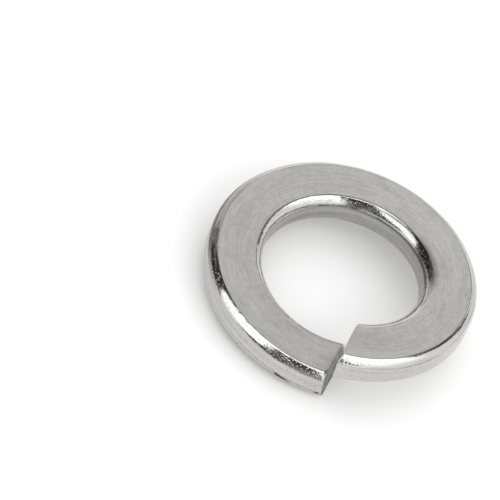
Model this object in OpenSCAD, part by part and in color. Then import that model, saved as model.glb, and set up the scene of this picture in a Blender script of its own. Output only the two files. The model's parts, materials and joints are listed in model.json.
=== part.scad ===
// Helical spring lock washer for an M12 bolt, stainless steel, coiled left hand.
// Its axis is +Z, its lowest point is at z = 0, and its split faces -Y.

/* [Ring] */
// Bore, which clears an M12 bolt
bore_d = 12.2; // [8:0.1:20]
// Width of the section, from the bore to the outer wall
section_w = 4.15; // [2.5:0.05:7]
// Thickness of the section, halfway across its width
section_t = 2.5; // [2:0.05:4]
// How much thicker the section is at the bore than at the outer wall
keystone_t = 0.15; // [0:0.01:0.4]
// Climb of the coil in one full turn, which sets the two ends apart
climb_h = 2.5; // [0.5:0.05:4]

/* [Rounded corners] */
// Width of the outer corners, across the flat faces
outer_round_w = 0.6; // [0.2:0.05:0.9]
// Height of the outer corners, down the outer wall
outer_round_h = 0.5; // [0.2:0.05:0.8]
// Width of the inner corners, across the flat faces
inner_round_w = 0.6; // [0.2:0.05:0.9]
// Height of the inner corners, down the bore wall
inner_round_h = 0.6; // [0.2:0.05:0.8]
// Angle at which a corner's curve meets the flats beside it
round_break = 18; // [10:1:30]

/* [Split] */
// Direction of the split, seen from the axis
split_at = -73; // [-110:1:-70]
// Gap between the two cut faces, along the ring, halfway up each end
cut_gap = 0.1; // [0.1:0.05:2]
// Slant of the cuts away from the radius, seen from above
cut_skew = 20; // [0:1:30]
// Lean of the low end's cut, whose foot reaches under the high end
low_lean = 9; // [0:1:15]
// Lean of the high end's cut
high_lean = 2; // [0:1:15]

/* [Smoothness] */
// Steps round the coil
coil_steps = 120; // [60:6:150]
// Steps across each rounded corner
round_steps = 4; // [3:1:6]

/* [Hidden] */
full_turn = 360;
quarter_turn = 90;
bore_r = bore_d / 2;
outer_r = bore_r + section_w;
middle_r = bore_r + section_w / 2;
// Stock left on both walls of the coil, which the two round cuts take off
wall_stock = 0.2;
// Room above and below the coil for the two round cuts
cut_room = 1;
wall_facets = 180;
steel = [0.72, 0.71, 0.69];

// Half the thickness of the section at a radius
function half_t(r) = section_t / 2 + (middle_r - r) * keystone_t / section_w / 2;

// How far along a corner's curve a step is, as the angle its normal has turned from the flat face
function round_turn(i) = round_break + (quarter_turn - 2 * round_break) * i / round_steps;

// One corner of the section as [radius, height above its middle], from the flat face to the wall.
// The last point runs on past the wall, along the curve's end, into the stock.
function corner(wall_r, inward, w, h) =
    let (
        face_z = half_t(wall_r + inward * w),
        low = sin(round_break),
        span = cos(round_break) - low,
        curve = [for (i = [0 : round_steps])
            let (turn = round_turn(i))
            [wall_r + inward * w * (1 - (sin(turn) - low) / span),
             face_z - h * (1 - (cos(turn) - low) / span)]],
        last = curve[round_steps],
        before = curve[round_steps - 1],
        steep = (last[1] - before[1]) / (last[0] - before[0])
    )
    [for (i = [0 : round_steps - 1]) curve[i],
     [last[0] - inward * wall_stock, last[1] - inward * wall_stock * steep]];

function backwards(list) = [for (i = [len(list) - 1 : -1 : 0]) list[i]];
function upside_down(list) = [for (p = list) [p[0], -p[1]]];

outer_corner = corner(outer_r, -1, outer_round_w, outer_round_h);
inner_corner = corner(bore_r, 1, inner_round_w, inner_round_h);
// The whole section, round from the top face, down the outer wall and up the bore
section = concat(outer_corner, backwards(upside_down(outer_corner)),
                 upside_down(inner_corner), backwards(inner_corner));

// Angle round the axis, from the middle of a cut, at which a point of the section meets that cut's plane.
// A second pass takes in what the coil has climbed by there.
function cut_angle(p, lean, pass = 0, climbed = 0) =
    let (
        offset = (tan(lean) * (p[1] + climbed) - middle_r * tan(cut_skew)) * cos(cut_skew),
        angle = cut_skew + asin(offset / p[0])
    )
    pass == 2 ? angle : cut_angle(p, lean, pass + 1, climb_h * angle / full_turn);

// A cut face as upright strips between its upper and lower edges, by the section's points
corner_points = round_steps + 1;
function strip(i, j) = [i, i + 1, j - 1, j];
strips = concat(
    [for (i = [0 : round_steps - 1]) strip(i, 2 * corner_points - 1 - i)],
    [for (i = [0 : round_steps - 1]) strip(2 * corner_points + i, 4 * corner_points - 1 - i)],
    [[0, 2 * corner_points - 1, 2 * corner_points, 4 * corner_points - 1]]);

gap_angle = full_turn * cut_gap / (2 * PI * middle_r);
starts = [for (p = section) cut_angle(p, low_lean) + gap_angle / 2];
ends = [for (p = section) full_turn + cut_angle(p, high_lean) - gap_angle / 2];
// Height of the section's middle where the coil starts, which sets the low end's foot at z = 0
start_z = -min([for (i = [0 : len(section) - 1]) section[i][1] + climb_h * starts[i] / full_turn]);
free_h = start_z + max([for (i = [0 : len(section) - 1]) section[i][1] + climb_h * ends[i] / full_turn]);

// The section swept along the coil. Each point has its own start and end, on the two cut planes.
module coil() {
    sides = len(section);
    points = [for (step = [0 : coil_steps], side = [0 : sides - 1])
        let (
            angle = starts[side] + (ends[side] - starts[side]) * step / coil_steps,
            azimuth = split_at - angle
        )
        [section[side][0] * cos(azimuth), section[side][0] * sin(azimuth),
         start_z + section[side][1] + climb_h * angle / full_turn]];
    skin = [for (step = [0 : coil_steps - 1], side = [0 : sides - 1])
        let (
            a = step * sides + side,
            b = step * sides + (side + 1) % sides
        )
        [a, b, b + sides, a + sides]];
    low_face = [for (s = strips) backwards(s)];
    high_face = [for (s = strips) [for (side = s) coil_steps * sides + side]];
    polyhedron(points = points, faces = concat(skin, low_face, high_face), convexity = 6);
}

module lock_washer() {
    color(steel)
    difference() {
        intersection() {
            coil();
            translate([0, 0, -cut_room])
                cylinder(r = outer_r, h = free_h + 2 * cut_room, $fn = wall_facets);
        }
        translate([0, 0, -2 * cut_room])
            cylinder(r = bore_r, h = free_h + 4 * cut_room, $fn = wall_facets);
    }
}

lock_washer();
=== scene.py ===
import json
import math

import bmesh
import bpy
from mathutils import Matrix, Vector, noise


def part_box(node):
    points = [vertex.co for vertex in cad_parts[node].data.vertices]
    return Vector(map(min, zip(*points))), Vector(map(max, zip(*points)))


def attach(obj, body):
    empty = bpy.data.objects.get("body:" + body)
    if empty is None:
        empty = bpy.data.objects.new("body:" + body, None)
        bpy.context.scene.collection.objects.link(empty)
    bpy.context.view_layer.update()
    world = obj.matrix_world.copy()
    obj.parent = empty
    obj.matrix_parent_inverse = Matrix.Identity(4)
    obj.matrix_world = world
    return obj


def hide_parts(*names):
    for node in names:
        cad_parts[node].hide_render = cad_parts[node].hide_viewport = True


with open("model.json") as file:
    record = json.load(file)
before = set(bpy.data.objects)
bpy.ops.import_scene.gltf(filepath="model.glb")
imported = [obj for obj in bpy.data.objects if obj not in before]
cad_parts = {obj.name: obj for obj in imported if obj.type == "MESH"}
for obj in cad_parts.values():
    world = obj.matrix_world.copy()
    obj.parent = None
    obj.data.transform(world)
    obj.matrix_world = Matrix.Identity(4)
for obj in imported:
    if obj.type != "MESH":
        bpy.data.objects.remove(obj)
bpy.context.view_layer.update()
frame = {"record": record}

# The washer is one turn of stainless wire with a nearly rectangular section, coiled left hand.
# The wire is drawn and rolled to its keystone section, coiled, and sheared through at a slant.
# The loose washer is then tumbled until its rounded corners shine. Sizes are in mm.
MM = 0.001
node_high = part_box("lock_washer")[1]
bore = next(m for m in frame["record"]["mounts"] if m["name"] == "bore")
bore_r = bore["dims"]["r_mm"]
outer_r = node_high.x / MM
middle_r = (bore_r + outer_r) / 2
section_w = outer_r - bore_r
section_t = 2.5
keystone = 0.15
climb = 2.5
outer_round_w = 0.6
outer_round_h = 0.5
inner_round_w = 0.6
inner_round_h = 0.6
round_break = math.radians(18)
split_at = math.radians(-73)
cut_gap = 0.1
cut_skew = math.radians(20)
low_lean = math.radians(9)
high_lean = math.radians(2)

# The shear rolls each cut's edges over, most at the upper corners, where the blade went in.
# It leaves the cut ragged, smooth in its upper part and torn below, with upright scores.
flat_roll = 0.05
corner_roll = 0.2
ragged_cut = 0.02
torn_share = 0.62
torn_depth = 0.035
score_depth = 0.008
# Unevenness that coiling and tumbling leave on the corners and on the rest of the skin
corner_waver = 0.007
flat_waver = 0.0035

full_turn = 2 * math.pi
ring_steps = 72
ring_cuts = 9
corner_steps = 10
face_cuts = 19
wall_cuts = 14
# How strongly the steps round the ring close up towards its two ends, for the rolled edges
close_up = 0.75


def half_t(r):
    """Half the section's thickness at a radius: it thins a little outwards."""
    return section_t / 2 + (middle_r - r) * keystone / section_w / 2


face_in_r = bore_r + inner_round_w
face_out_r = outer_r - outer_round_w
wall_in_h = half_t(face_in_r) - inner_round_h
wall_out_h = half_t(face_out_r) - outer_round_h


def round_corner(section, wall_r, face_r, height):
    """Spins one rounded corner from its flat face to its wall, and returns its two end vertices."""
    low = math.sin(round_break)
    span = math.cos(round_break) - low
    first = section.verts.new((low, 0, math.cos(round_break)))
    spun = bmesh.ops.spin(section, geom=[first], cent=(0, 0, 0), axis=(0, 1, 0),
                          angle=math.pi / 2 - 2 * round_break, steps=corner_steps)
    last = next(v for v in spun["geom_last"] if isinstance(v, bmesh.types.BMVert))
    curve = section.verts[-corner_steps - 1:]
    bmesh.ops.translate(section, verts=curve, vec=(-low, 0, -low))
    bmesh.ops.scale(section, verts=curve, vec=((wall_r - face_r) / span, 1, height / span))
    bmesh.ops.translate(section, verts=curve, vec=(face_r, 0, half_t(face_r) - height))
    return first, last


def draw_section(section):
    """The wire's section in the XZ plane: four rounded corners, with flats and walls between them."""
    face_out, wall_out = round_corner(section, outer_r, face_out_r, outer_round_h)
    face_in, wall_in = round_corner(section, bore_r, face_in_r, inner_round_h)
    upper = section.verts[:]
    twin = bmesh.ops.duplicate(section, geom=upper + section.edges[:])["vert_map"]
    bmesh.ops.scale(section, verts=[twin[v] for v in upper], vec=(1, 1, -1))
    flats = [section.edges.new(ends) for ends in ((face_in, face_out), (twin[face_in], twin[face_out]))]
    walls = [section.edges.new(ends) for ends in ((wall_out, twin[wall_out]), (wall_in, twin[wall_in]))]
    bmesh.ops.subdivide_edges(section, edges=flats, cuts=face_cuts)
    bmesh.ops.subdivide_edges(section, edges=walls, cuts=wall_cuts)


FACE, CORNER, WALL, BORE, CUT = range(5)


def finish_at(r, height):
    """Which finish the skin has at a radius and a height above the section's middle."""
    if face_in_r < r < face_out_r:
        return FACE
    if r < middle_r:
        return BORE if abs(height) < wall_in_h else CORNER
    return WALL if abs(height) < wall_out_h else CORNER


def across(finish, r, height):
    """How far a point lies across its own strip of skin, from the strip's inner or upper edge."""
    if finish == FACE:
        return r - face_in_r
    if finish in (WALL, BORE):
        return (wall_in_h if finish == BORE else wall_out_h) - height
    face_r = face_in_r if r < middle_r else face_out_r
    return math.hypot(r - face_r, half_t(face_r) - abs(height))


def cut_turn(r, height, lean):
    """Turn from the middle of a cut to where a point of the section meets that cut's plane."""
    turn = 0
    # Each pass takes in what the coil has climbed by the turn of the last one
    for _ in range(3):
        up = math.tan(lean) * (height + climb * turn / full_turn)
        turn = cut_skew + math.asin((up - middle_r * math.tan(cut_skew)) * math.cos(cut_skew) / r)
    return turn


def skin_normal(r, height):
    """The section's outward direction at a point of its outline, as (outwards, upwards)."""
    up = math.copysign(1, height)
    finish = finish_at(r, height)
    if finish == FACE:
        return 0, up
    out = math.copysign(1, r - middle_r)
    if finish in (WALL, BORE):
        return out, 0
    wall_r, face_r, round_h = ((bore_r, face_in_r, inner_round_h) if r < middle_r
                               else (outer_r, face_out_r, outer_round_h))
    span = math.cos(round_break) - math.sin(round_break)
    along = math.sin(round_break) + span * abs(r - face_r) / abs(wall_r - face_r)
    rise = math.cos(round_break) - span * (half_t(face_r) - abs(height)) / round_h
    direction = Vector((out * along / abs(wall_r - face_r), up * rise / round_h)).normalized()
    return direction.x, direction.y


# Dents and nicks, each at a turn in degrees, a radius and a height above the section's middle,
# with its length along the ring, its width and its depth.
dents = (
    # Nicks low on the outer wall, near the low end, and one at its foot
    (24.4, outer_r, -0.63, 0.26, 0.12, 0.09),
    (21.6, outer_r, -0.68, 0.42, 0.11, 0.08),
    (18.6, outer_r, -0.74, 0.2, 0.1, 0.04),
    (6.2, outer_r, -0.66, 0.24, 0.1, 0.07),
    # Two on the edge of the upper face
    (48.0, face_out_r, 1.2, 0.35, 0.1, 0.03),
    (53.5, face_out_r, 1.2, 0.2, 0.08, 0.03),
    # A row on the upper outer corner of the high end
    (362.4, outer_r - 0.08, 0.93, 0.13, 0.11, 0.07),
    (360.6, outer_r - 0.07, 0.92, 0.11, 0.1, 0.06),
    (358.9, outer_r - 0.06, 0.9, 0.13, 0.1, 0.06),
    (357.2, outer_r - 0.05, 0.88, 0.11, 0.09, 0.05),
    (355.3, outer_r - 0.04, 0.86, 0.15, 0.1, 0.05),
    (353.0, outer_r - 0.04, 0.85, 0.16, 0.08, 0.03),
    # Two small ones on the bore's upper corner
    (264.0, 6.62, 1.28, 0.12, 0.1, 0.015),
    (271.0, 6.66, 1.28, 0.16, 0.1, 0.015),
    # Shallow ones elsewhere on the walls
    (132.0, outer_r, 0.3, 0.5, 0.12, 0.02),
    (205.0, outer_r, -0.5, 0.3, 0.2, 0.024),
    (228.0, outer_r - 0.2, 1.0, 0.5, 0.14, 0.03),
    (95.0, bore_r, 0.2, 0.4, 0.12, 0.02),
    (301.0, outer_r, 0.55, 0.4, 0.12, 0.02),
    (168.0, outer_r, -0.1, 0.2, 0.14, 0.018))


def dent(turn, r, height):
    """How deep the dents and nicks go at a point of the skin."""
    sunk = 0
    for dent_turn, dent_r, dent_height, length, width, depth in dents:
        along = (math.radians(dent_turn) - turn) * middle_r / length
        if abs(along) < 2:
            off = math.hypot(dent_r - r, dent_height - height) / width
            sunk += depth * math.exp(-2 * (along ** 2 + off ** 2))
    return sunk


def waver(turn, r, height):
    """The faint unevenness of the skin, stronger on the rounded corners."""
    along = turn * middle_r
    slow = noise.noise((along * 0.9, r * 1.5, height * 1.5))
    quick = noise.noise((along * 2.3, r * 4, height * 4))
    amount = corner_waver if finish_at(r, height) == CORNER else flat_waver
    return max(0, amount * (1 + slow + 0.5 * quick))


def rolled_over(to_cut, r, height):
    """How far the shear rolled the skin over at a distance from a cut."""
    roll = corner_roll if height > 0 and finish_at(r, height) == CORNER else flat_roll
    return roll - math.sqrt(roll ** 2 - (roll - to_cut) ** 2) if to_cut < roll else 0


# What each vertex of the coil keeps: its place and outward direction in the section,
# its turn round the axis, and the depth of the dents there
LAYERS = ("reach", "level", "turned", "outwards", "upwards", "dented")


def coil(washer):
    """Spins the section one turn round the axis, in fine steps between its two slanted cuts."""
    new_layer = washer.verts.layers.float.new
    reach, level, turned, outwards, upwards, dented = (new_layer(name) for name in LAYERS)
    for vert in washer.verts:
        vert[reach], vert[level] = vert.co.x, vert.co.z
        vert[outwards], vert[upwards] = skin_normal(vert.co.x, vert.co.z)
    half_gap = cut_gap / 2 / middle_r
    # Height of the section's middle where the coil starts, with the low end's foot on the floor
    start_z = -min(v[level] + climb * (cut_turn(v[reach], v[level], low_lean) + half_gap) / full_turn
                   for v in washer.verts)
    ring = len(washer.verts)
    bmesh.ops.spin(washer, geom=washer.verts[:] + washer.edges[:], axis=(0, 0, 1), angle=-full_turn,
                   dvec=(0, 0, climb / ring_steps), steps=ring_steps)
    for i, vert in enumerate(washer.verts):
        vert[turned] = i // ring / ring_steps
    lengthwise = [edge for edge in washer.edges if edge.verts[0][turned] != edge.verts[1][turned]]
    bmesh.ops.subdivide_edges(washer, edges=lengthwise, cuts=ring_cuts)
    for vert in washer.verts:
        r, height = vert[reach], vert[level]
        share = vert[turned]
        share -= close_up * math.sin(full_turn * share) / full_turn
        # The nearer end's number, so that the two cuts are ragged in different ways
        end_seed = 5 * round(vert[turned])
        coarse = noise.noise((r * 1.7, height * 1.2, end_seed))
        fine = noise.noise((r * 6, height * 5, end_seed))
        inset = half_gap + ragged_cut * (2 + coarse + fine) / middle_r
        first = cut_turn(r, height, low_lean) + inset
        last = full_turn + cut_turn(r, height, high_lean) - inset
        turn = first * (1 - share) + last * share
        to_cut = max(0, min(turn - first, last - turn) * r)
        vert[turned] = turn
        vert[dented] = dent(turn, r, height)
        sunk = rolled_over(to_cut, r, height) + vert[dented] + waver(turn, r, height)
        r -= vert[outwards] * sunk
        height -= vert[upwards] * sunk
        azimuth = split_at - turn
        vert.co = (r * math.cos(azimuth), r * math.sin(azimuth),
                   start_z + height + climb * turn / full_turn)


def lay_strips(washer):
    """Gives each strip of the skin its finish, and a UV map along and across it."""
    reach, level, turned = (washer.verts.layers.float[name] for name in LAYERS[:3])
    strip = washer.loops.layers.uv.new("strip")
    for face in washer.faces:
        face.smooth = True
        r = sum(v[reach] for v in face.verts) / len(face.verts)
        height = sum(v[level] for v in face.verts) / len(face.verts)
        finish = finish_at(r, height)
        face.material_index = finish
        for loop in face.loops:
            vert = loop.vert
            loop[strip].uv = (vert[turned] * middle_r, across(finish, vert[reach], vert[level]))
    for edge in washer.edges:
        if len({face.material_index for face in edge.link_faces}) > 1:
            edge.smooth = False


def close_end(washer, end_turn):
    """Closes one end of the coil with its sheared face: smooth where the blade slid, then torn."""
    turned = washer.verts.layers.float["turned"]
    rim = [edge for edge in washer.edges
           if edge.is_boundary and abs(edge.verts[0][turned] - end_turn) < 1]
    rails = [edge for edge in rim if edge.link_faces[0].material_index in (FACE, CORNER)]
    skin = set(washer.verts)
    filled = bmesh.ops.grid_fill(washer, edges=rails, mat_nr=CUT, use_smooth=True,
                                 use_interp_simple=True)
    cap = filled["faces"]
    bmesh.ops.recalc_face_normals(washer, faces=washer.faces)
    inward = -sum((face.normal * face.calc_area() for face in cap), Vector()).normalized()
    bottom = min(edge.verts[0].co.z for edge in rim)
    for vert in {v for face in cap for v in face.verts} - skin:
        rise = (vert.co.z - bottom) / section_t
        torn = 1 / (1 + math.exp(18 * (rise - torn_share - 0.1 * noise.noise(vert.co * 1.3))))
        depth = torn_depth + 0.03 * noise.noise(vert.co * 2.2) + 0.02 * noise.noise(vert.co * 5)
        score = noise.noise((vert.co.x * 4, vert.co.y * 4, vert.co.z * 0.4))
        vert.co += inward * (depth * torn + score_depth * (1 + score))


def show_mesh(name, shape):
    """Turns a finished bmesh into an object of the scene."""
    mesh = bpy.data.meshes.new(name)
    shape.to_mesh(mesh)
    shape.free()
    shown = bpy.data.objects.new(name, mesh)
    bpy.context.scene.collection.objects.link(shown)
    return shown


washer = bmesh.new()
draw_section(washer)
coil(washer)
lay_strips(washer)
close_end(washer, 0)
close_end(washer, full_turn)
bmesh.ops.scale(washer, verts=washer.verts, vec=(MM, MM, MM))
# The materials need only the depth of the dents
for name in LAYERS:
    if name != "dented":
        washer.verts.layers.float.remove(washer.verts.layers.float[name])
spring_washer = show_mesh("spring_washer", washer)


def new_group(name, vector, values, results):
    """An empty shader node group with one vector and some values going in, and values coming out."""
    group = bpy.data.node_groups.new(name, "ShaderNodeTree")
    group.interface.new_socket(vector, in_out="INPUT", socket_type="NodeSocketVector")
    for label in values:
        group.interface.new_socket(label, in_out="INPUT", socket_type="NodeSocketFloat")
    for label in results:
        group.interface.new_socket(label, in_out="OUTPUT", socket_type="NodeSocketFloat")
    return group, group.nodes.new("NodeGroupInput").outputs, group.nodes.new("NodeGroupOutput").inputs


def put(tree, kind, settings=None, **sockets):
    """Adds a node with its settings. Each socket named is wired to an output or given a value,
    and _0, _1 and so on name a socket by its place in the node's list."""
    node = tree.nodes.new(kind)
    for name, value in (settings or {}).items():
        setattr(node, name, value)
    for name, value in sockets.items():
        key = int(name[1:]) if name[0] == "_" else name.replace("_", " ")
        if isinstance(value, bpy.types.NodeSocket):
            tree.links.new(value, node.inputs[key])
        else:
            node.inputs[key].default_value = value
    return node


def maths(tree, operation, a, b=0.0):
    """One Math node's result."""
    return put(tree, "ShaderNodeMath", {"operation": operation}, _0=a, _1=b).outputs[0]


def times(tree, product, *others):
    """The product of several values."""
    for other in others:
        product = maths(tree, "MULTIPLY", product, other)
    return product


def total(tree, *parts):
    """The sum of several values, each given with the share that it counts for."""
    result = 0.0
    for value, share in parts:
        node = put(tree, "ShaderNodeMath", {"operation": "MULTIPLY_ADD"}, _0=value, _1=share, _2=result)
        result = node.outputs[0]
    return result


def ramp(tree, value, start, stop, low=0.0, high=1.0):
    """Goes evenly from low to high while a value goes from start to stop, and stays there."""
    node = put(tree, "ShaderNodeMapRange", Value=value, From_Min=start, From_Max=stop,
               To_Min=low, To_Max=high)
    return node.outputs[0]


def use(tree, group, **sockets):
    """The results of one of the shared effects, set for one finish."""
    return put(tree, "ShaderNodeGroup", {"node_tree": group}, **sockets).outputs


def over_strip(tree, strip):
    """How far a point lies along its strip of skin, and how far across it."""
    spot = put(tree, "ShaderNodeSeparateXYZ", _0=strip).outputs
    return spot["X"], spot["Y"]


def scratch_lines():
    """Fine lines that run along the wire, as left by drawing, rolling and rubbing."""
    group, given, result = new_group("scratch_lines", "Strip", ("Length", "Width", "Seed"), ("Lines",))
    along, offset = over_strip(group, given["Strip"])
    place = put(group, "ShaderNodeCombineXYZ", X=maths(group, "DIVIDE", along, given["Length"]),
                Y=maths(group, "DIVIDE", offset, given["Width"]), Z=given["Seed"]).outputs[0]
    lines = put(group, "ShaderNodeTexNoise", Vector=place, Scale=1.0, Detail=3.0, Roughness=0.6)
    group.links.new(lines.outputs["Fac"], result["Lines"])
    return group


def tumble_marks():
    """The orange peel that tumbling leaves on the steel: soft dimples, and a few sharp pits."""
    group, given, result = new_group("tumble_marks", "Place", ("Size", "Share"), ("Dimples", "Pits"))
    place = given["Place"]
    scale = maths(group, "DIVIDE", 1.0, times(group, given["Size"], MM))
    dimples = put(group, "ShaderNodeTexNoise", Vector=place, Scale=scale, Detail=2.0, Roughness=0.55)
    cells = put(group, "ShaderNodeTexVoronoi", Vector=place, Scale=times(group, scale, 0.5)).outputs
    hole = ramp(group, cells["Distance"], 0.45, 0.1)
    chance = put(group, "ShaderNodeSeparateColor", _0=cells["Color"]).outputs[0]
    chosen = maths(group, "LESS_THAN", chance, given["Share"])
    group.links.new(dimples.outputs["Fac"], result["Dimples"])
    group.links.new(times(group, hole, chosen), result["Pits"])
    return group


lines_group = scratch_lines()
peel_group = tumble_marks()


def stray_scratches():
    """Short bright scratches that wander a little off the run of the wire, with gaps between them."""
    group, given, result = new_group("stray_scratches", "Strip", ("Length", "Width", "Seed"),
                                     ("Scratches",))
    strip = given["Strip"]
    wander = put(group, "ShaderNodeTexNoise", Vector=strip, Scale=0.35, Detail=1.0).outputs["Fac"]
    shift = put(group, "ShaderNodeCombineXYZ", Y=times(group, wander, 2.0)).outputs[0]
    moved = put(group, "ShaderNodeVectorMath", {"operation": "ADD"}, _0=strip, _1=shift).outputs[0]
    lines = use(group, lines_group, Strip=moved, Length=given["Length"], Width=given["Width"],
                Seed=given["Seed"])["Lines"]
    group.links.new(ramp(group, lines, 0.6, 0.72), result["Scratches"])
    return group


# Turn, in radians, at which the painted shade line along a strip's first edge is widest, and along its
# last edge
first_shade_widest = 2.8
last_shade_widest = 6.0


def break_line():
    """A painted shade line where one strip of skin turns into the next, on the strip's first and last
    edge.
    """
    group, given, result = new_group("break_line", "Strip", ("Strip Width", "Line Width"),
                                     ("First", "Last"))
    along, offset = over_strip(group, given["Strip"])
    turn = maths(group, "DIVIDE", along, middle_r)
    rest = maths(group, "SUBTRACT", given["Strip Width"], offset)
    for side, name, seed, widest in ((offset, "First", 0.0, first_shade_widest),
                                      (rest, "Last", 40.0, last_shade_widest)):
        run = maths(group, "ADD", along, seed)
        one_way = {"noise_dimensions": "1D"}
        slow = put(group, "ShaderNodeTexNoise", one_way, W=run, Scale=0.25, Detail=1.0).outputs["Fac"]
        quick = put(group, "ShaderNodeTexNoise", one_way, W=run, Scale=2.5, Detail=2.0).outputs["Fac"]
        swell = maths(group, "COSINE", maths(group, "SUBTRACT", turn, widest))
        uneven = total(group, (slow, 1.6), (quick, 1.0), (swell, 0.8))
        width = times(group, given["Line Width"], maths(group, "SUBTRACT", uneven, 0.6))
        line = ramp(group, side, maths(group, "MAXIMUM", width, 0.001), 0.0)
        group.links.new(line, result[name])
    return group


scratch_group = stray_scratches()
crease_shade_group = break_line()


def steel(name):
    """A bare stainless steel finish, ready for its nodes."""
    material = bpy.data.materials.new(name)
    material.use_nodes = True
    tree = material.node_tree
    shader = tree.nodes["Principled BSDF"]
    shader.inputs["Metallic"].default_value = 1.0
    return material, tree, shader


def strip_map(tree):
    """The UV map along and across each strip of skin."""
    return put(tree, "ShaderNodeUVMap", {"uv_map": "strip"}).outputs[0]


def own_place(tree):
    """The place on the piece itself."""
    return put(tree, "ShaderNodeTexCoord").outputs["Object"]


def blend(tree, share, low, high):
    """A colour between two, by a share."""
    mix = put(tree, "ShaderNodeMix", {"data_type": "RGBA"}, _0=share)
    for socket, colour in ((mix.inputs[6], low), (mix.inputs[7], high)):
        if isinstance(colour, bpy.types.NodeSocket):
            tree.links.new(colour, socket)
        else:
            socket.default_value = (*colour, 1.0)
    return mix.outputs[2]


def between(tree, value, low, high):
    """A noise, which stays near 0.3 to 0.7, stretched to lie between two values."""
    return ramp(tree, value, 0.3, 0.7, low, high)


def around(tree, along, centre, reach):
    """A share that is 1 near one turn round the ring, in degrees, and fades to 0 at a reach from it."""
    turn = maths(tree, "DIVIDE", along, middle_r)
    away = maths(tree, "ABSOLUTE", maths(tree, "SUBTRACT", turn, math.radians(centre)))
    edge = math.radians(reach)
    return ramp(tree, away, edge, 0.4 * edge)


def painted_nick_shade(tree):
    """How much painted shade darkens a nick, by the depth of its dent."""
    depth = put(tree, "ShaderNodeAttribute", {"attribute_name": "dented"}).outputs["Fac"]
    return ramp(tree, depth, 0.015, 0.04)


def dress(tree, shader, colour, roughness, height, depth):
    """Wires up a finish: its colour, its roughness, and its fine relief of a depth in mm."""
    bump = put(tree, "ShaderNodeBump", Height=height, Distance=depth * MM).outputs[0]
    tree.links.new(colour, shader.inputs["Base Color"])
    tree.links.new(roughness, shader.inputs["Roughness"])
    tree.links.new(bump, shader.inputs["Normal"])


steel_light = (0.542, 0.534, 0.509)
steel_bright = (0.60, 0.592, 0.566)
steel_grey = (0.385, 0.381, 0.364)
steel_dark = (0.035, 0.034, 0.033)
corner_bright = (0.66, 0.651, 0.622)
corner_dull = (0.33, 0.325, 0.31)
cut_dark = (0.13, 0.127, 0.122)
cut_grey = (0.36, 0.353, 0.34)
wall_grey = (0.44, 0.434, 0.415)
wall_bright = (0.63, 0.622, 0.595)
bore_dull = (0.305, 0.296, 0.288)
bore_grey = (0.475, 0.462, 0.447)


def rolled_face():
    """The flat faces: satin, with faint lines round the ring, stray scratches and a few pits."""
    material, tree, shader = steel("rolled_face")
    strip = strip_map(tree)
    place = own_place(tree)
    along, offset = over_strip(tree, strip)
    fine = use(tree, lines_group, Strip=strip, Length=3.0, Width=0.06)["Lines"]
    broad = use(tree, lines_group, Strip=strip, Length=9.0, Width=1.2, Seed=4.0)["Lines"]
    scratches = use(tree, scratch_group, Strip=strip, Length=1.6, Width=0.045)["Scratches"]
    dull = use(tree, scratch_group, Strip=strip, Length=2.4, Width=0.06, Seed=9.0)["Scratches"]
    marks = use(tree, peel_group, Place=place, Size=0.12, Share=0.06)
    soft = use(tree, peel_group, Place=place, Size=0.6)["Dimples"]
    # Painted shade lines along the face's two edges, where it turns into the corners
    crease_and_shade = use(tree, crease_shade_group, Strip=strip, Strip_Width=face_out_r - face_in_r, Line_Width=0.06)
    crease_shade = maths(tree, "MAXIMUM", crease_and_shade["First"], crease_and_shade["Last"])
    tone = total(tree, (fine, 0.4), (broad, 0.2), (marks["Dimples"], 0.25), (soft, 0.15))
    colour = blend(tree, between(tree, tone, -0.8, 1.8), steel_grey, steel_light)
    colour = blend(tree, times(tree, scratches, 0.6), colour, steel_bright)
    # Dull scratches and pits darken the colour, and so does the painted crease shade
    dark_marks_and_crease_shade = total(tree, (dull, 0.3), (marks["Pits"], 0.2), (crease_shade, 0.9))
    colour = blend(tree, maths(tree, "MINIMUM", dark_marks_and_crease_shade, 1.0), colour, steel_dark)
    # Painted dark reflection on the face beside the bore, at its right
    painted_edge_reflection = times(tree, around(tree, along, 257, 26), ramp(tree, offset, 0.5, -0.1))
    colour = blend(tree, times(tree, painted_edge_reflection, 0.75), colour, steel_dark)
    height = total(tree, (fine, 0.8), (soft, 1.6), (marks["Dimples"], 0.5), (scratches, -0.5),
                   (marks["Pits"], -0.5))
    dress(tree, shader, colour, between(tree, broad, 0.27, 0.34), height, 0.003)
    return material


def painted_dark_reflections(tree, along, offset, place, lines):
    """Painted dark reflections on the corners: streaks and bands round the bore, and a band low outside.
    """
    level_place = put(tree, "ShaderNodeVectorMath", {"operation": "MULTIPLY"}, _0=place,
                      _1=(1.0, 1.0, 0.0)).outputs[0]
    r = put(tree, "ShaderNodeVectorMath", {"operation": "LENGTH"}, _0=level_place).outputs["Value"]
    inner = maths(tree, "LESS_THAN", r, middle_r * MM)
    start = ramp(tree, offset, 0.09, 0.15)
    stop = ramp(tree, offset, 0.36, 0.2)
    streaks = ramp(tree, lines, 0.42, 0.56)
    edge_band = times(tree, around(tree, along, 226, 34), start, stop)
    streaked = times(tree, around(tree, along, 195, 18), streaks, start, 0.65)
    whole = times(tree, around(tree, along, 258, 24), 0.8)
    on_bore = maths(tree, "MAXIMUM", maths(tree, "MAXIMUM", edge_band, streaked), whole)
    on_outside = times(tree, around(tree, along, 108, 42), ramp(tree, offset, 0.4, 0.52))
    return put(tree, "ShaderNodeMix", _0=inner, _2=on_outside, _3=on_bore).outputs[0]


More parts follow.
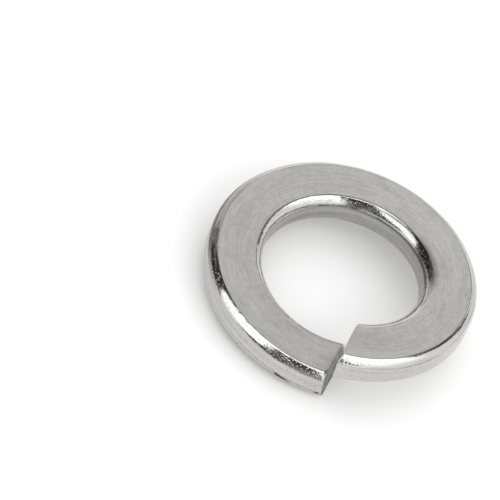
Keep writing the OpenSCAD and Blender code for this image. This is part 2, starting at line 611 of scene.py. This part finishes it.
def tumbled_corner():
    """The rounded corners: bright, with the orange peel of tumbling and a slight groove along the flats;
    painted shade darkens the groove and the nicks, and painted dark reflections lie round the bore and
    low outside.
    """
    material, tree, shader = steel("tumbled_corner")
    strip = strip_map(tree)
    place = own_place(tree)
    along, offset = over_strip(tree, strip)
    speckle = use(tree, peel_group, Place=place, Size=0.05, Share=0.5)["Pits"]
    pits = times(tree, speckle, ramp(tree, offset, 0.1, 0.22))
    broad = use(tree, peel_group, Place=place, Size=0.17)["Dimples"]
    lines = use(tree, lines_group, Strip=strip, Length=2.5, Width=0.09, Seed=3.0)["Lines"]
    # Painted shade lines along the corner's edges; the first one is also a slight groove in the relief
    crease_and_shade = use(tree, crease_shade_group, Strip=strip, Line_Width=0.04,
                 Strip_Width=math.hypot(outer_round_w, outer_round_h))
    crease_shade = maths(tree, "MAXIMUM", crease_and_shade["First"], times(tree, crease_and_shade["Last"], 0.35))
    # Painted dark reflections round the bore and low on the outer corner
    dark_reflection = painted_dark_reflections(tree, along, offset, place, lines)
    colour = blend(tree, times(tree, ramp(tree, lines, 0.45, 0.68), 0.6), corner_bright, corner_dull)
    colour = blend(tree, times(tree, pits, 0.15), colour, steel_dark)
    colour = blend(tree, crease_shade, colour, steel_dark)
    colour = blend(tree, times(tree, dark_reflection, 0.8), colour, steel_dark)
    # Painted shade in the nicks
    colour = blend(tree, painted_nick_shade(tree), colour, steel_dark)
    height = total(tree, (pits, -0.75), (broad, 0.42), (lines, 0.22), (crease_and_shade["First"], -1.1))
    dress(tree, shader, colour, between(tree, broad, 0.08, 0.14), height, 0.012)
    return material


def drawn_wall(name, low, high, dark_reflection_at):
    """The outer and bore walls: satin, lined by drawing, with a painted dark reflection along one place
    of the upper edge.
    """
    material, tree, shader = steel(name)
    strip = strip_map(tree)
    along, offset = over_strip(tree, strip)
    fine = use(tree, lines_group, Strip=strip, Length=6.0, Width=0.07, Seed=2.0)["Lines"]
    broad = use(tree, lines_group, Strip=strip, Length=16.0, Width=0.3, Seed=7.0)["Lines"]
    scratches = use(tree, scratch_group, Strip=strip, Length=3.0, Width=0.05, Seed=5.0)["Scratches"]
    marks = use(tree, peel_group, Place=own_place(tree), Size=0.2, Share=0.2)
    # Painted dark reflection along the upper edge, near one turn
    dark_reflection = times(tree, ramp(tree, offset, 0.24, 0.08), around(tree, along, dark_reflection_at, 45))
    tone = total(tree, (fine, 0.3), (broad, 0.5), (marks["Dimples"], 0.2))
    colour = blend(tree, between(tree, tone, -0.4, 1.4), low, high)
    colour = blend(tree, times(tree, scratches, 0.5), colour, low)
    colour = blend(tree, times(tree, dark_reflection, 0.75), colour, steel_dark)
    colour = blend(tree, times(tree, marks["Pits"], 0.15), colour, steel_dark)
    # Painted shade in the nicks
    colour = blend(tree, painted_nick_shade(tree), colour, steel_dark)
    height = total(tree, (fine, 1.0), (broad, 2.5), (marks["Dimples"], 1.0), (marks["Pits"], -0.6))
    dress(tree, shader, colour, between(tree, broad, 0.2, 0.34), height, 0.004)
    return material


def sheared_cut():
    """The two cut ends: dark, torn steel with the shear's upright scores."""
    material, tree, shader = steel("sheared_cut")
    place = own_place(tree)
    upright = put(tree, "ShaderNodeMapping", Vector=place, Scale=(12.0, 12.0, 1.0)).outputs[0]
    scores = put(tree, "ShaderNodeTexNoise", Vector=upright, Scale=0.6 / MM, Detail=4.0).outputs["Fac"]
    grain = put(tree, "ShaderNodeTexNoise", Vector=place, Scale=3.0 / MM, Detail=4.0).outputs["Fac"]
    colour = blend(tree, between(tree, scores, 0.0, 1.0), cut_dark, cut_grey)
    height = total(tree, (scores, 1.0), (grain, 1.0))
    dress(tree, shader, colour, between(tree, grain, 0.35, 0.6), height, 0.02)
    return material


# In the order of FACE, CORNER, WALL, BORE and CUT
for finish in (rolled_face(), tumbled_corner(), drawn_wall("outer_wall", wall_grey, wall_bright, 108),
               drawn_wall("bore_wall", bore_dull, bore_grey, 225), sheared_cut()):
    spring_washer.data.materials.append(finish)
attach(spring_washer, "root")
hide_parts("lock_washer")


# The floor is a white photographer's table, wide enough to fill the view round the small washer.
# It keeps the soft shadow, and away from the washer it turns into the plain white of the backdrop.
white = (1.0, 1.0, 1.0, 1.0)
table_r = 600
fade_start_r = 16
fade_stop_r = 60
table = bmesh.new()
bmesh.ops.create_circle(table, cap_ends=True, segments=96, radius=table_r * MM)
white_table = show_mesh("white_table", table)


def table_white():
    """White card: lit and shadowed near the washer, and seen as plain white further out."""
    material = bpy.data.materials.new("table_white")
    material.use_nodes = True
    tree = material.node_tree
    tree.nodes.remove(tree.nodes["Principled BSDF"])
    card = put(tree, "ShaderNodeBsdfDiffuse", Color=(0.88, 0.88, 0.88, 1.0)).outputs[0]
    glow = put(tree, "ShaderNodeEmission", Color=white, Strength=0.05).outputs[0]
    lit = put(tree, "ShaderNodeAddShader", _0=card, _1=glow).outputs[0]
    rays = put(tree, "ShaderNodeLightPath").outputs
    mirrored = maths(tree, "MAXIMUM", rays["Is Glossy Ray"], rays["Is Transmission Ray"])
    seen = maths(tree, "MAXIMUM", rays["Is Camera Ray"], mirrored)
    far_glow = ramp(tree, rays["Is Camera Ray"], 0.0, 1.0, 0.7, 1.0)
    plain = put(tree, "ShaderNodeEmission", Color=white, Strength=far_glow).outputs[0]
    away = put(tree, "ShaderNodeVectorMath", {"operation": "LENGTH"}, _0=own_place(tree)).outputs["Value"]
    far = put(tree, "ShaderNodeMapRange", {"interpolation_type": "SMOOTHSTEP"}, Value=away,
              From_Min=fade_start_r * MM, From_Max=fade_stop_r * MM).outputs[0]
    near = put(tree, "ShaderNodeMixShader", _0=seen, _1=card, _2=lit).outputs[0]
    out = put(tree, "ShaderNodeMixShader", _0=times(tree, far, seen), _1=near, _2=plain).outputs[0]
    tree.links.new(out, tree.nodes["Material Output"].inputs["Surface"])
    return material


white_table.data.materials.append(table_white())


# The studio is a white room with two large softboxes, a softbox overhead, and dark gaps between them.
# These are cards that only reflections see, each laid out by the directions of its corners.
# The room lights the table evenly, and two weak lamps, behind and at the right, shape the shadow.
card_r = 340
softbox_glow = 2.0


def card(name, glow, *corners, top_glow=None):
    """A card with its corners at (east, north) parts of a unit direction from the washer.
    A glow of 1 is as bright as the room. A top glow is what it fades to higher up."""
    sheet = bmesh.new()
    for east, north in corners:
        up = math.sqrt(1 - east ** 2 - north ** 2)
        sheet.verts.new(Vector((east, north, up)) * card_r * MM)
    sheet.faces.new(sheet.verts)
    sheet_object = show_mesh(name, sheet)
    material = bpy.data.materials.new(name)
    material.use_nodes = True
    tree = material.node_tree
    tree.nodes.remove(tree.nodes["Principled BSDF"])
    if top_glow is not None:
        height = put(tree, "ShaderNodeSeparateXYZ", _0=own_place(tree)).outputs["Z"]
        glow = ramp(tree, height, 0.3 * card_r * MM, card_r * MM, glow, top_glow)
    light = put(tree, "ShaderNodeEmission", Color=white, Strength=glow).outputs[0]
    tree.links.new(light, tree.nodes["Material Output"].inputs["Surface"])
    sheet_object.data.materials.append(material)
    sheet_object.visible_camera = False
    sheet_object.visible_diffuse = False
    sheet_object.visible_shadow = False


card("left_softbox", softbox_glow, (-0.93, -0.31), (-0.67, -0.02), (-0.45, 0.08), (-0.35, 0.06),
     (-0.12, -0.05), (-0.16, -0.3), (-0.28, -0.6), (-0.37, -0.77), (-0.6, -0.69), (-0.78, -0.56),
     (-0.88, -0.43))
card("right_softbox", softbox_glow, (0.2, 0.05), (0.2, 0.15), (0.38, 0.35), (0.68, 0.2), (0.68, -0.25),
     (0.56, -0.58), (0.45, -0.8), (0.3, -0.4))
card("right_spill", 1.3, (0.68, 0.2), (0.8, 0.18), (0.84, -0.25), (0.68, -0.7), (0.5, -0.84),
     (0.45, -0.8), (0.56, -0.58), (0.68, -0.25))
card("overhead_softbox", 1.9, (-0.3, 0.1), (-0.14, -0.05), (0.21, -0.05), (0.2, 0.04),
     (0.3, 0.26), (-0.15, 0.24))
card("camera_gap", 0.34, (-0.11, -0.06), (0.21, -0.06), (0.22, -0.3), (0.3, -0.6),
     (0.42, -0.9), (-0.06, -0.98), (-0.1, -0.8), (-0.37, -0.77), (-0.28, -0.6), (-0.16, -0.3),
     top_glow=0.03)
card("low_gap", 0.12, (-0.78, -0.55), (-0.6, -0.68), (-0.37, -0.76), (-0.1, -0.79), (-0.07, -0.98),
     (-0.44, -0.89), (-0.63, -0.77))
card("left_gap", 0.04, (-0.95, -0.3), (-0.67, -0.02), (-0.45, 0.08), (-0.35, 0.06),
     (-0.3, 0.1), (-0.2, 0.2), (-0.3, 0.38), (-0.9, 0.38), (-0.99, 0.1))
card("left_dusk", 0.16, (-0.3, 0.39), (-0.4, 0.52), (-0.84, 0.52), (-0.9, 0.39))
card("left_haze", 0.55, (-0.4, 0.53), (-0.4, 0.9), (-0.68, 0.72), (-0.83, 0.53))
card("right_gap", 0.06, (0.38, 0.34), (0.5, 0.26), (0.64, 0.62), (0.5, 0.78))
card("back_shade", 0.65, (0.0, 0.38), (0.3, 0.38), (0.3, 0.6), (0.0, 0.6))


def table_lamp(name, azimuth, elevation, energy):
    """A wide lamp half a metre away that lights the table and isn't seen in reflections."""
    turn, rise = math.radians(azimuth), math.radians(elevation)
    away = Vector((math.cos(turn) * math.cos(rise), math.sin(turn) * math.cos(rise), math.sin(rise)))
    lamp = bpy.data.lights.new(name, "AREA")
    lamp.shape = "RECTANGLE"
    lamp.size = 700 * MM
    lamp.size_y = 400 * MM
    lamp.energy = energy
    lamp_object = bpy.data.objects.new(name, lamp)
    lamp_object.location = away * 500 * MM
    lamp_object.rotation_mode = "QUATERNION"
    lamp_object.rotation_quaternion = away.to_track_quat("Z", "Y")
    lamp_object.visible_camera = False
    lamp_object.visible_glossy = False
    bpy.context.scene.collection.objects.link(lamp_object)


table_lamp("back_lamp", 105, 50, 0.5)
table_lamp("right_lamp", -35, 30, 1.2)

world = bpy.data.worlds.new("white_room")
bpy.context.scene.world = world
world.use_nodes = True
room = world.node_tree.nodes["Background"].inputs
room["Color"].default_value = white
room["Strength"].default_value = 1.0


# The camera looks down at the washer through a long lens, and is turned about its own axis,
# as the photograph was.
camera_elevation = math.radians(47.258)
camera_roll = math.radians(24.624)
camera_away = 450.86
aim_right = -6.032
aim_up = 3.372
aim_z = 0.1066
camera_data = bpy.data.cameras.new("camera")
camera_data.sensor_width = 36
camera_data.lens = 434.77
camera_data.clip_start = 0.01
camera_data.clip_end = 10
camera = bpy.data.objects.new("camera", camera_data)
level_right = Vector((1, 0, 0))
level_up = Vector((0, math.sin(camera_elevation), math.cos(camera_elevation)))
back = Vector((0, -math.cos(camera_elevation), math.sin(camera_elevation)))
right = level_right * math.cos(camera_roll) + level_up * math.sin(camera_roll)
up = level_up * math.cos(camera_roll) - level_right * math.sin(camera_roll)
camera.rotation_mode = "QUATERNION"
camera.rotation_quaternion = Matrix((right, up, back)).transposed().to_quaternion()
camera.location = (Vector((0, 0, aim_z)) + right * aim_right + up * aim_up + back * camera_away) * MM
bpy.context.scene.collection.objects.link(camera)
bpy.context.scene.camera = camera
bpy.context.scene.view_settings.view_transform = "Standard"
